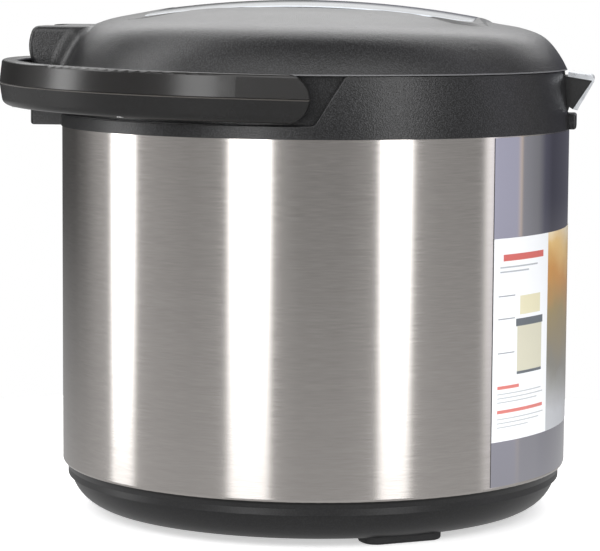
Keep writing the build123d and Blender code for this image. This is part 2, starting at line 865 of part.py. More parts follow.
def make_lid_insulation():
    """Foam that fills the lid between its cover and its inner plate."""
    top_z = lid_base_z() + lid_hollow_h - lid_foam_gap
    r = plug_r - plug_sheet - lid_foam_gap
    floor_z = plug_z + plug_sheet + lid_foam_gap
    roof_z = plug_roof_z + plug_sheet + lid_foam_gap
    return solid_of_revolution(
        [
            (0, roof_z),
            (plug_roof_r + lid_foam_gap, roof_z),
            (plug_floor_r + lid_foam_gap, floor_z),
            (r, floor_z),
            (r, lid_base_z() + lid_hollow_h / 2),
            (plug_floor_r, top_z),
            (0, top_z),
        ]
    )


def make_lid_gasket():
    """Seal ring round the plug, over the collar's mouth."""
    low = lid_seam_z + running_gap
    ring = tube(gasket_out_r, gasket_in_r, low, plug_flange_z)
    groove_low = low + gasket_lip
    groove_r = gasket_out_r - gasket_lip
    return ring - tube(gasket_out_r + overrun, groove_r, groove_low, groove_low + gasket_lip / 2)


def make_lid_catch():
    """Tongue under the front of the lid, with a tooth for the latch's nose."""
    out_r = latch_nose_r - catch_gap - catch_tooth
    tongue = box_between(
        (-catch_half_w, -out_r, catch_z), (catch_half_w, -out_r + catch_thick, plug_flange_z)
    )
    tooth = box_between(
        (-catch_half_w, -out_r - catch_tooth, catch_z), (catch_half_w, -out_r, catch_z + catch_tooth_h)
    )
    return tongue + tooth


# Latch


def latch_outline(inset):
    """Top edge, apex and foot of the wedge, moved in by the cap's sheet."""
    top_z = lid_seam_z - running_gap
    slope = (latch_apex_z - top_z) / (latch_apex_r - latch_top_r)
    return [
        (-latch_top_r, top_z - inset),
        (-latch_apex_r + inset * (1 - slope), latch_apex_z - inset),
        (-latch_foot_r + inset, latch_foot_z + inset * latch_foot_cut_share),
    ]


def make_latch_lever():
    """Wedge that the thumb presses, with its barrel and the arm up to the nose."""
    top, apex, foot = latch_outline(latch_cap_sheet)
    back_y = -latch_pin_y - latch_arm_thick / 2
    front_y = -latch_pin_y
    arm_top = top[1]
    wedge = side_profile(
        [(back_y, arm_top), top, apex, foot, (back_y, foot[1] + latch_cap_sheet)], latch_half_w
    )
    arm = side_profile(
        [
            (back_y, latch_pin_z),
            (back_y, arm_top),
            (-latch_nose_r, arm_top),
            (-latch_nose_r, arm_top - latch_nose_h),
            (front_y, arm_top - latch_nose_h),
            (front_y, latch_pin_z),
        ],
        latch_half_w,
    )
    lever = wedge + arm
    lever += rod_along_x(latch_barrel_r, -latch_half_w, latch_half_w, -latch_pin_y, latch_pin_z)
    lever -= rod_along_x(latch_barrel_r, -latch_slot_half, latch_slot_half, -latch_pin_y, latch_pin_z)
    reach = latch_half_w + overrun
    return lever - rod_along_x(latch_pin_r + fit_gap, -reach, reach, -latch_pin_y, latch_pin_z)


def make_latch_cap():
    """Bright bent sheet over the wedge."""
    outer = latch_outline(0)
    inner = latch_outline(latch_cap_sheet)
    cap = side_profile(outer + inner[::-1], latch_cap_half_w)
    bend = cap.edges().filter_by(Axis.X).sort_by(Axis.Y)[0]
    return fillet(bend, latch_bend_r)


def make_latch_spring():
    """Coils round the latch's pin, in the slot of its barrel."""
    coil = coil_on_pin(latch_pin_r, latch_spring_wire_r, latch_slot_half, latch_spring_turns)
    return Pos(0, -latch_pin_y, latch_pin_z) * coil


# Hinge


def make_hinge_pin():
    """Steel pin through the three knuckles."""
    half = cover_half_w - hinge_pin_head_gap - running_gap
    return rod_along_x(hinge_pin_r, -half, half, hinge_y, hinge_z)


def coil_on_pin(pin_r, wire_r, slot_half, turns):
    """Coils of wire round a pin along X, within a slot."""
    pitch = 2 * (slot_half - wire_r - running_gap) / turns
    path = Helix(pitch, pitch * turns, pin_r + wire_r + running_gap)
    section = Plane(origin=path @ 0, z_dir=path % 0) * Circle(wire_r)
    return Pos(-pitch * turns / 2, 0, 0) * Rot(0, 90, 0) * sweep(section, path)


def make_hinge_spring():
    """Coils round the hinge pin, in the slot of the collar's knuckle."""
    coil = coil_on_pin(hinge_pin_r, spring_wire_r, spring_slot_half, spring_turns)
    return Pos(0, hinge_y, hinge_z) * coil


# Film and label


def front_sheet(r_in, thick, z_low, z_high):
    """Thin sheet round the front of the shell."""
    start = -90 - film_half_deg
    profile = make_face(
        Polyline(
            (r_in, z_low), (r_in + thick, z_low), (r_in + thick, z_high), (r_in, z_high), close=True
        )
    )
    sheet = revolve(Plane.XZ * profile, Axis.Z, 2 * film_half_deg)
    return around(sheet, start)


# Inner pot


def make_pot_body():
    """Deep pot with a thickened rim."""
    floor_z = liner_floor_z + running_gap + pot_disc_h
    outside = solid_of_revolution(
        [(0, floor_z), (pot_out_r, floor_z), (pot_out_r, pot_rim_z - pot_rim_h), (0, pot_rim_z - pot_rim_h)]
    )
    outside = fillet(outside.edges().group_by(Axis.Z)[0], pot_corner_r)
    inside = solid_of_revolution(
        [
            (0, floor_z + pot_wall),
            (pot_out_r - pot_wall, floor_z + pot_wall),
            (pot_out_r - pot_wall, pot_rim_z + overrun),
            (0, pot_rim_z + overrun),
        ]
    )
    inside = fillet(inside.edges().group_by(Axis.Z)[0], pot_corner_r - pot_wall)
    rim = tube(pot_rim_r, 0, pot_rim_z - pot_rim_h, pot_rim_z)
    rim = fillet(level_rims(rim), pot_rim_h / 3)
    return (outside + rim) - inside


def make_pot_base_disc():
    """Thick conducting disc under the pot."""
    low = liner_floor_z + running_gap
    plate = disc(pot_disc_r, low, low + pot_disc_h)
    return fillet(plate.edges().group_by(Axis.Z)[0], pot_disc_edge_r)


def make_pot_ear(side_sign):
    """Bent strip riveted to the wall, out round the rim and up to the bail's eye."""
    inner = pot_out_r
    knee_z = ear_pad_z + ear_pad_h
    out = ear_out_r - ear_sheet
    outline = [
        (inner, ear_pad_z),
        (inner + ear_sheet, ear_pad_z),
        (inner + ear_sheet, knee_z - ear_sheet),
        (ear_out_r, knee_z - ear_sheet + (ear_out_r - inner - ear_sheet) / 2),
        (ear_out_r, ear_top_z),
        (out, ear_top_z),
        (out, knee_z + (ear_out_r - inner - ear_sheet) / 2),
        (inner, knee_z),
    ]
    strip = extrude(Plane.XZ * make_face(Polyline(*outline, close=True)), ear_half_w, both=True)
    eye = rod_along_x(bail_wire_r + fit_gap, out - overrun, ear_out_r + overrun, 0, bail_z)
    strip -= eye
    strip -= disc(pot_out_r, liner_floor_z, pot_rim_z)
    for z in rivet_heights():
        strip -= rod_along_x(rivet_r / 2, pot_out_r - overrun, pot_out_r + overrun, 0, z)
    return strip if side_sign > 0 else mirror(strip, Plane.YZ)


def rivet_heights():
    """Two rivets, one above the other, in an ear's pad."""
    middle = ear_pad_z + ear_pad_h / 2 - ear_sheet / 2
    return middle - rivet_pitch / 2, middle + rivet_pitch / 2


def make_pot_rivet(side_sign, number):
    """Rivet through the ear's pad, with its round head outside."""
    z = rivet_heights()[number]
    shank = rod_along_x(rivet_r / 2 - fit_gap, pot_out_r + fit_gap, pot_out_r + ear_sheet, 0, z)
    head = rod_along_x(rivet_r, pot_out_r + ear_sheet, pot_out_r + ear_sheet + rivet_head, 0, z)
    head = fillet(head.edges().group_by(Axis.X)[-1], rivet_head * 2 / 3)
    rivet = shank + head
    return rivet if side_sign > 0 else mirror(rivet, Plane.YZ)


def bail_bar(r, start_deg, arc_deg):
    """Round bar along part of the bail's loop."""
    section = Plane.XZ * Pos(bail_loop_r, bail_z) * Circle(r)
    return around(revolve(section, Axis.Z, arc_deg), start_deg)


def make_pot_bail():
    """Wire bail lying down over the front of the rim, its ends turned out through the ears."""
    bail = bail_bar(bail_wire_r, 180, 180)
    for side_sign in (-1, 1):
        x_low, x_high = sorted((side_sign * bail_loop_r, side_sign * (ear_out_r + running_gap)))
        bail += rod_along_x(bail_wire_r, x_low, x_high, 0, bail_z)
        bail += Pos(side_sign * bail_loop_r, 0, bail_z) * Sphere(bail_wire_r)
    return bail


def make_bail_grip():
    """Heat-proof sleeve on the middle of the bail."""
    sleeve = bail_bar(grip_r, -90 - grip_half_deg, 2 * grip_half_deg)
    return sleeve - bail_bar(bail_wire_r, 180, 180)


def make_inner_lid():
    """Steel lid on the pot's rim, with a step down into it and a raised middle."""
    z = pot_rim_z + running_gap
    inner_r = pot_out_r - pot_wall - inner_lid_seat
    outline = [
        (0, z + inner_lid_rise),
        (inner_lid_step_r - inner_lid_rise, z + inner_lid_rise),
        (inner_lid_step_r, z - pot_rim_h),
        (inner_r, z - pot_rim_h),
        (inner_r, z),
        (inner_lid_r, z),
        (inner_lid_r, z + inner_lid_sheet),
        (inner_r - inner_lid_sheet, z + inner_lid_sheet),
        (inner_r - inner_lid_sheet, z - pot_rim_h + inner_lid_sheet),
        (inner_lid_step_r + inner_lid_sheet / 2, z - pot_rim_h + inner_lid_sheet),
        (inner_lid_step_r - inner_lid_rise + inner_lid_sheet / 2, z + inner_lid_rise + inner_lid_sheet),
        (0, z + inner_lid_rise + inner_lid_sheet),
    ]
    lid = solid_of_revolution(outline)
    return lid - disc(knob_screw_r, z, z + inner_lid_rise + overrun)


def knob_z():
    """Where the knob stands on the inner lid."""
    return pot_rim_z + running_gap + inner_lid_rise + inner_lid_sheet


def make_inner_lid_knob():
    """Turned knob with a narrow neck."""
    z = knob_z()
    knob = solid_of_revolution(
        [
            (0, z),
            (knob_neck_r + knob_edge_r, z),
            (knob_neck_r, z + knob_edge_r),
            (knob_neck_r, z + knob_h / 2),
            (knob_r, z + knob_h / 2 + knob_edge_r / 2),
            (knob_r, z + knob_h),
            (0, z + knob_h),
        ]
    )
    knob = fillet(level_rims(knob)[-1], knob_edge_r)
    return knob - disc(knob_screw_r, z - overrun, z + knob_h / 2)


def make_inner_lid_screw():
    """Screw up through the inner lid into the knob."""
    z = knob_z()
    head_top = z - inner_lid_sheet
    head = disc(knob_screw_head_r, head_top - knob_screw_head_h, head_top)
    shank = disc(knob_screw_r - fit_gap, head_top - fit_gap, z + knob_h / 2 - running_gap)
    slot = Pos(0, 0, head_top - knob_screw_head_h) * Box(
        screw_slot_w, 2 * knob_screw_head_r, 2 * screw_slot_depth
    )
    return head + shank - slot


# All pieces


def all_pieces():
    """Every piece by name."""
    pieces = {
        "outer_shell": make_outer_shell(),
        "base_cover": make_base_cover(),
        "inner_liner": make_inner_liner(),
        "insulation_wall": make_insulation_wall(),
        "insulation_floor": make_insulation_floor(),
        "collar": make_collar(),
        "hinge_pin": make_hinge_pin(),
        "hinge_spring": make_hinge_spring(),
        "front_film": front_sheet(
            body_r + fit_gap,
            film_thick,
            base_seam_z + shell_curl_r + film_margin,
            collar_seam_z - film_margin,
        ),
        "front_label": front_sheet(
            body_r + film_thick + 2 * fit_gap, label_thick, label_z, label_z + label_h
        ),
        "latch_lever": make_latch_lever(),
        "latch_cap": make_latch_cap(),
        "latch_spring": make_latch_spring(),
        "latch_pin": rod_along_x(
            latch_pin_r,
            -latch_bay_half_w - latch_pin_seat,
            latch_bay_half_w + latch_pin_seat,
            -latch_pin_y,
            latch_pin_z,
        ),
        "handle_upper_shell": handle_place() * handle_half(True),
        "handle_lower_shell": handle_place() * handle_half(False),
        "lid_cover": make_lid_cover(),
        "lid_top_plate": make_lid_top_plate(),
        "lid_insulation": make_lid_insulation(),
        "lid_inner_plate": make_lid_inner_plate(),
        "lid_gasket": make_lid_gasket(),
        "lid_catch": make_lid_catch(),
        "pot_body": make_pot_body(),
        "pot_base_disc": make_pot_base_disc(),
        "pot_bail": make_pot_bail(),
        "bail_grip": make_bail_grip(),
        "inner_lid": make_inner_lid(),
        "inner_lid_knob": make_inner_lid_knob(),
        "inner_lid_screw": make_inner_lid_screw(),
    }
    for number in range(foot_count):
        pieces[f"foot_{number + 1}"] = make_foot(number)
        pieces[f"base_screw_{number + 1}"] = make_base_screw(number)
    for number in range(len(handle_screw_angles_deg)):
        pieces[f"handle_screw_{number + 1}"] = make_handle_screw(number)
    for number in range(lid_screw_count):
        pieces[f"lid_screw_{number + 1}"] = make_lid_screw(number)
    for side_name, side_sign in (("left", -1), ("right", 1)):
        pieces[f"handle_pin_{side_name}"] = handle_pin(side_sign)
        pieces[f"handle_washer_{side_name}"] = make_handle_washer(side_sign)
        pieces[f"pot_ear_{side_name}"] = make_pot_ear(side_sign)
        for number in range(len(rivet_heights())):
            pieces[f"pot_rivet_{side_name}_{number + 1}"] = make_pot_rivet(side_sign, number)
    return pieces


os.makedirs("parts", exist_ok=True)
for node, shape in all_pieces().items():
    export_step(shape, f"parts/{node}.step")
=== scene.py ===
"""Dressed model of the thermal cooker: finishes, studio light and camera.

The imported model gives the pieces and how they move. Everything here is in metres in its frame:
+Z up, the front (latch and label) to -Y, the hinge and the lowered handle to +Y.
"""

import logging
import math
from collections.abc import Iterable, Mapping, Sequence
from dataclasses import dataclass
from enum import Enum
from typing import Any

import bmesh
import bpy
from mathutils import Matrix, Vector

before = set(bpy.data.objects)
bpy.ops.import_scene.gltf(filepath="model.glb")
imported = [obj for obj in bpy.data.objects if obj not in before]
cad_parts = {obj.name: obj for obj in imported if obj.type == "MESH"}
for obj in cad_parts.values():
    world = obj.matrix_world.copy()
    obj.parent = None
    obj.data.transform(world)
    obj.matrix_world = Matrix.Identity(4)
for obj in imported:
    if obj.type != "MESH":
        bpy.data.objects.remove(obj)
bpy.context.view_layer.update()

MM = 0.001
CREASE_DEG = 30.0
SRGB_KNEE, SRGB_SLOPE, SRGB_OFFSET, SRGB_POWER = 0.04045, 12.92, 0.055, 2.4
# The Mix node repeats its socket names for each kind of value, so its colours go by number.
MIX_UNDER, MIX_OVER, MIX_RESULT = 6, 7, 2
log = logging.getLogger("thermal_cooker")


def linear(hex_code: str) -> tuple[float, float, float, float]:
    """Turn an sRGB hex colour to the linear values that shaders take.

    Args:
        hex_code: six hex digits, with or without a hash sign.

    Returns:
        Linear red, green and blue, and an alpha of one.
    """
    digits = hex_code.lstrip("#")
    channels = [int(digits[i:i + 2], 16) / 255 for i in (0, 2, 4)]
    red, green, blue = (
        c / SRGB_SLOPE
        if c <= SRGB_KNEE
        else ((c + SRGB_OFFSET) / (1 + SRGB_OFFSET)) ** SRGB_POWER
        for c in channels
    )
    return red, green, blue, 1.0


def per_metre(size_mm: float) -> float:
    """Give the noise scale whose features are about this many millimetres across."""
    return 1.0 / (size_mm * MM)


def add_node(
    tree: bpy.types.NodeTree,
    kind: str,
    inputs: Mapping[str | int, Any] | None = None,
    **settings: Any,
) -> bpy.types.Node:
    """Add a shader node with its settings and links.

    Args:
        tree: the node tree that gets the node.
        kind: Blender's name of the node's type.
        inputs: for each input socket, by name or number, an output socket to link or a value.
        **settings: the node's own properties, such as an operation.

    Returns:
        The new node.
    """
    node = tree.nodes.new(kind)
    for name, value in settings.items():
        setattr(node, name, value)
    for socket, value in (inputs or {}).items():
        if isinstance(value, bpy.types.NodeSocket):
            tree.links.new(value, node.inputs[socket])
        else:
            node.inputs[socket].default_value = value
    return node


def fill_ramp(
    node: bpy.types.Node, stops: Sequence[tuple[float, str]], shares: Sequence[float] = ()
) -> bpy.types.Node:
    """Set a colour ramp's stops.

    Args:
        node: the colour ramp.
        stops: places from 0 to 1 with their hex colours, in order.
        shares: how much of each colour's light is kept; all of it where none is given.

    Returns:
        The same node.
    """
    ramp = node.color_ramp
    while len(ramp.elements) > 1:
        ramp.elements.remove(ramp.elements[-1])
    for number, (place, colour) in enumerate(stops):
        share = shares[number] if shares else 1.0
        stop = ramp.elements.new(place) if number else ramp.elements[0]
        stop.position = place
        stop.color = [channel * share for channel in linear(colour)[:3]] + [1.0]
    return node


def new_material(name: str) -> tuple[bpy.types.Material, bpy.types.NodeTree, bpy.types.Node]:
    """Start a node material.

    Args:
        name: the material's name.

    Returns:
        The material, its tree and its Principled shader.
    """
    material = bpy.data.materials.new(name)
    material.use_nodes = True
    tree = material.node_tree
    return material, tree, tree.nodes["Principled BSDF"]


def named(*starts: str) -> list[str]:
    """List the CAD pieces whose names start with any of these."""
    return [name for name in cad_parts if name.startswith(starts)]


def dress(nodes: Iterable[str], material: bpy.types.Material) -> None:
    """Give CAD pieces a finish in place of the plain one they came with.

    Args:
        nodes: names of the CAD pieces.
        material: the finish.
    """
    for name in nodes:
        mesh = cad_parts[name].data
        mesh.materials.clear()
        mesh.materials.append(material)
        log.info("dressed %s in %s", name, material.name)


def round_shading(nodes: Iterable[str]) -> None:
    """Shade curved CAD faces smooth and keep their creases.

    Args:
        nodes: names of the CAD pieces.
    """
    for name in nodes:
        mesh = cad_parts[name].data
        mesh.shade_smooth()
        mesh.set_sharp_from_angle(angle=math.radians(CREASE_DEG))


class Brushing(Enum):
    """Which way the brush ran: how far the scratches are drawn out along each axis."""

    ROUND = (0.04, 0.04, 1.0)
    ALONG_X = (0.03, 1.0, 1.0)


@dataclass(frozen=True)
class BrushedMetal:
    """Stainless or aluminium sheet, belt brushed.

    The belt leaves fine parallel scratches, so highlights spread across them and stay crisp along
    them. Real scratches are under a tenth of a millimetre wide, too fine to show, so these are
    drawn several times coarser.
    """

    name: str
    colour: str
    shade: str
    roughness: float
    anisotropy: float
    scratch_mm: float
    scratch_depth_mm: float
    brushing: Brushing
    relief: float = 0.35
    band_ratio: float = 9.0
    scratch_share: float = 3.0
    streak_limits: tuple[float, float] = (1.4, 2.6)
    gloss_spread: tuple[float, float] = (0.8, 1.2)
    round_turn: float = 0.25

    def build(self) -> bpy.types.Material:
        """Build the material.

        Returns:
            The finish as a node material.
        """
        material, tree, shader = new_material(self.name)
        place = add_node(tree, "ShaderNodeTexCoord")
        along = add_node(
            tree,
            "ShaderNodeMapping",
            {"Vector": place.outputs["Object"], "Scale": self.brushing.value},
        )
        scratches = add_node(
            tree,
            "ShaderNodeTexNoise",
            {"Vector": along.outputs[0], "Scale": per_metre(self.scratch_mm), "Detail": 3.0},
        )
        band_mm = self.scratch_mm * self.band_ratio
        bands = add_node(
            tree,
            "ShaderNodeTexNoise",
            {"Vector": along.outputs[0], "Scale": per_metre(band_mm), "Detail": 2.0},
        )
        mixed = add_node(
            tree,
            "ShaderNodeMath",
            {0: scratches.outputs[0], 1: self.scratch_share, 2: bands.outputs[0]},
            operation="MULTIPLY_ADD",
        )
        dull, clear = self.streak_limits
        streaks = add_node(
            tree,
            "ShaderNodeMapRange",
            {"Value": mixed.outputs[0], "From Min": dull, "From Max": clear},
        )
        tone = add_node(
            tree,
            "ShaderNodeMix",
            {
                "Factor": streaks.outputs[0],
                MIX_UNDER: linear(self.shade),
                MIX_OVER: linear(self.colour),
            },
            data_type="RGBA",
        )
        low, high = (self.roughness * share for share in self.gloss_spread)
        polish = add_node(
            tree,
            "ShaderNodeMapRange",
            {"Value": scratches.outputs[0], "To Min": low, "To Max": high},
        )
        relief = add_node(
            tree,
            "ShaderNodeBump",
            {
                "Height": scratches.outputs[0],
                "Strength": self.relief,
                "Distance": self.scratch_depth_mm * MM,
            },
        )
        tree.links.new(tone.outputs[MIX_RESULT], shader.inputs["Base Color"])
        tree.links.new(polish.outputs[0], shader.inputs["Roughness"])
        tree.links.new(relief.outputs[0], shader.inputs["Normal"])
        shader.inputs["Metallic"].default_value = 1.0
        shader.inputs["Anisotropic"].default_value = self.anisotropy
        if self.brushing is Brushing.ROUND:
            tangent = add_node(tree, "ShaderNodeTangent", direction_type="RADIAL", axis="Z")
            tree.links.new(tangent.outputs[0], shader.inputs["Tangent"])
            shader.inputs["Anisotropic Rotation"].default_value = self.round_turn
        return material


@dataclass(frozen=True)
class Rim:
    """A thin level or slanting line: a painted highlight along an edge, or a dark joint."""

    low_mm: float
    high_mm: float
    colour: str
    rise_per_y: float = 0.0

    def draw(
        self, tree: bpy.types.NodeTree, place: bpy.types.Node, under: bpy.types.NodeSocket
    ) -> bpy.types.NodeSocket:
        """Draw the line over the colour so far.

        Args:
            tree: the material's tree.
            place: its texture coordinates.
            under: the colour so far.

        Returns:
            The new colour.
        """
        axes = add_node(tree, "ShaderNodeSeparateXYZ", {0: place.outputs["Object"]})
        level = add_node(
            tree,
            "ShaderNodeMath",
            {0: axes.outputs[1], 1: -self.rise_per_y, 2: axes.outputs[2]},
            operation="MULTIPLY_ADD",
        )
        half = (self.high_mm - self.low_mm) / 2 * MM
        inside = add_node(
            tree,
            "ShaderNodeMath",
            {0: level.outputs[0], 1: self.low_mm * MM + half, 2: half},
            operation="COMPARE",
        )
        return add_node(
            tree,
            "ShaderNodeMix",
            {"Factor": inside.outputs[0], MIX_UNDER: under, MIX_OVER: linear(self.colour)},
            data_type="RGBA",
        ).outputs[MIX_RESULT]


@dataclass(frozen=True)
class MouldedPlastic:
    """Polypropylene, ABS or a like plastic or rubber from a spark-eroded mould.

    The eroded grain breaks the gloss into fine specks, and long use evens it out in places.
    A tip colour paler than the plastic paints highlights onto the grain's tips. Real grain is
    0.1 to 0.3 mm wide; where it has to show it is drawn coarser.
    """

    name: str
    colour: str
    worn_colour: str
    roughness: float
    grain_mm: float
    grain_depth_mm: float
    specular: float = 0.5
    tip_colour: str = "#1c1c1d"
    rim: Rim | None = None
    ior: float = 1.5
    relief: float = 0.7
    wear_mm: float = 38.0
    tip_limits: tuple[float, float] = (0.42, 0.66)
    gloss_spread: tuple[float, float] = (0.88, 1.12)

    def build(self) -> bpy.types.Material:
        """Build the material.

        Returns:
            The finish as a node material.
        """
        material, tree, shader = new_material(self.name)
        place = add_node(tree, "ShaderNodeTexCoord")
        grain = add_node(
            tree,
            "ShaderNodeTexNoise",
            {"Vector": place.outputs["Object"], "Scale": per_metre(self.grain_mm), "Detail": 1.0},
        )
        wear = add_node(
            tree,
            "ShaderNodeTexNoise",
            {"Vector": place.outputs["Object"], "Scale": per_metre(self.wear_mm), "Detail": 3.0},
        )
        tone = add_node(
            tree,
            "ShaderNodeMix",
            {
                "Factor": wear.outputs[0],
                MIX_UNDER: linear(self.colour),
                MIX_OVER: linear(self.worn_colour),
            },
            data_type="RGBA",
        )
        low, high = (self.roughness * share for share in self.gloss_spread)
        gloss = add_node(
            tree, "ShaderNodeMapRange", {"Value": wear.outputs[0], "To Min": low, "To Max": high}
        )
        foot, tip = self.tip_limits
        # The grain's tips take the tip colour; where it is paler, that is a painted highlight.
        tips = add_node(
            tree,
            "ShaderNodeMapRange",
            {"Value": grain.outputs[0], "From Min": foot, "From Max": tip},
        )
        colour = add_node(
            tree,
            "ShaderNodeMix",
            {
                "Factor": tips.outputs[0],
                MIX_UNDER: tone.outputs[MIX_RESULT],
                MIX_OVER: linear(self.tip_colour),
            },
            data_type="RGBA",
        ).outputs[MIX_RESULT]
        if self.rim:
            colour = self.rim.draw(tree, place, colour)
        relief = add_node(
            tree,
            "ShaderNodeBump",
            {
                "Height": grain.outputs[0],
                "Strength": self.relief,
                "Distance": self.grain_depth_mm * MM,
            },
        )
        tree.links.new(colour, shader.inputs["Base Color"])
        tree.links.new(gloss.outputs[0], shader.inputs["Roughness"])
        tree.links.new(relief.outputs[0], shader.inputs["Normal"])
        shader.inputs["IOR"].default_value = self.ior
        shader.inputs["Specular IOR Level"].default_value = self.specular
        return material


@dataclass(frozen=True)
class ChromePlate:
    """Chrome over copper and nickel on ABS, satin: it gathers a wide stretch of the room."""

    name: str = "satin chrome plate"
    colour: str = "#e6e9ed"
    roughness: float = 0.26
    mark_mm: float = 6.0
    gloss_spread: tuple[float, float] = (0.6, 1.8)

    def build(self) -> bpy.types.Material:
        """Build the material.

        Returns:
            The finish as a node material.
        """
        material, tree, shader = new_material(self.name)
        place = add_node(tree, "ShaderNodeTexCoord")
        marks = add_node(
            tree,
            "ShaderNodeTexNoise",
            {"Vector": place.outputs["Object"], "Scale": per_metre(self.mark_mm), "Detail": 4.0},
        )
        low, high = (self.roughness * share for share in self.gloss_spread)
        polish = add_node(
            tree, "ShaderNodeMapRange", {"Value": marks.outputs[0], "To Min": low, "To Max": high}
        )
        tree.links.new(polish.outputs[0], shader.inputs["Roughness"])
        shader.inputs["Base Color"].default_value = linear(self.colour)
        shader.inputs["Metallic"].default_value = 1.0
        return material


@dataclass(frozen=True)
class GlossFilm:
    """Clear polyester film laid on the brushed steel, faintly violet.

    The film's smooth face mirrors the room sharply over the softer steel below. Upright ripples
    show where it doesn't lie quite flat.
    """

    name: str = "clear polyester film on steel"
    colour: str = "#c1c0ca"
    roughness: float = 0.07
    coat: float = 0.6
    coat_roughness: float = 0.02
    ripple_mm: float = 5.0
    ripple_depth_mm: float = 0.03
    relief: float = 0.2
    upright: tuple[float, float, float] = (1.0, 1.0, 0.03)
    gloss_spread: tuple[float, float] = (0.8, 1.2)

    def build(self) -> bpy.types.Material:
        """Build the material.

        Returns:
            The finish as a node material.
        """
        material, tree, shader = new_material(self.name)
        place = add_node(tree, "ShaderNodeTexCoord")
        upright = add_node(
            tree, "ShaderNodeMapping", {"Vector": place.outputs["Object"], "Scale": self.upright}
        )
        ripples = add_node(
            tree,
            "ShaderNodeTexNoise",
            {"Vector": upright.outputs[0], "Scale": per_metre(self.ripple_mm), "Detail": 1.0},
        )
        relief = add_node(
            tree,
            "ShaderNodeBump",
            {
                "Height": ripples.outputs[0],
                "Strength": self.relief,
                "Distance": self.ripple_depth_mm * MM,
            },
        )
        low, high = (self.roughness * share for share in self.gloss_spread)
        polish = add_node(
            tree,
            "ShaderNodeMapRange",
            {"Value": ripples.outputs[0], "To Min": low, "To Max": high},
        )
        tree.links.new(relief.outputs[0], shader.inputs["Normal"])
        tree.links.new(polish.outputs[0], shader.inputs["Roughness"])
        shader.inputs["Base Color"].default_value = linear(self.colour)
        shader.inputs["Metallic"].default_value = 1.0
        shader.inputs["Coat Weight"].default_value = self.coat
        shader.inputs["Coat Roughness"].default_value = self.coat_roughness
        return material


@dataclass(frozen=True)
class Patch:
    """A plain block of colour on the label, in degrees from its middle and millimetres up."""

    left_deg: float
    right_deg: float
    low_mm: float
    high_mm: float
    colour: str

    def lay(
        self,
        tree: bpy.types.NodeTree,
        under: bpy.types.NodeSocket,
        side: bpy.types.Node,
        height: bpy.types.Node,
    ) -> bpy.types.NodeSocket:
        """Lay the patch over what is printed so far.

        Args:
            tree: the material's tree.
            under: the colour so far.
            side: degrees from the middle, the same to both sides.
            height: millimetres above the floor.

        Returns:
            The new colour.
        """
        half_turn = (self.right_deg - self.left_deg) / 2
        half_rise = (self.high_mm - self.low_mm) / 2
        across = add_node(
            tree,
            "ShaderNodeMath",
            {0: side.outputs[0], 1: self.left_deg + half_turn, 2: half_turn},
            operation="COMPARE",
        )
        up = add_node(
            tree,
            "ShaderNodeMath",
            {0: height.outputs[0], 1: self.low_mm + half_rise, 2: half_rise},
            operation="COMPARE",
        )
        inside = add_node(
            tree,
            "ShaderNodeMath",
            {0: across.outputs[0], 1: up.outputs[0]},
            operation="MULTIPLY",
        )
        return add_node(
            tree,
            "ShaderNodeMix",
            {"Factor": inside.outputs[0], MIX_UNDER: under, MIX_OVER: linear(self.colour)},
            data_type="RGBA",
        ).outputs[MIX_RESULT]


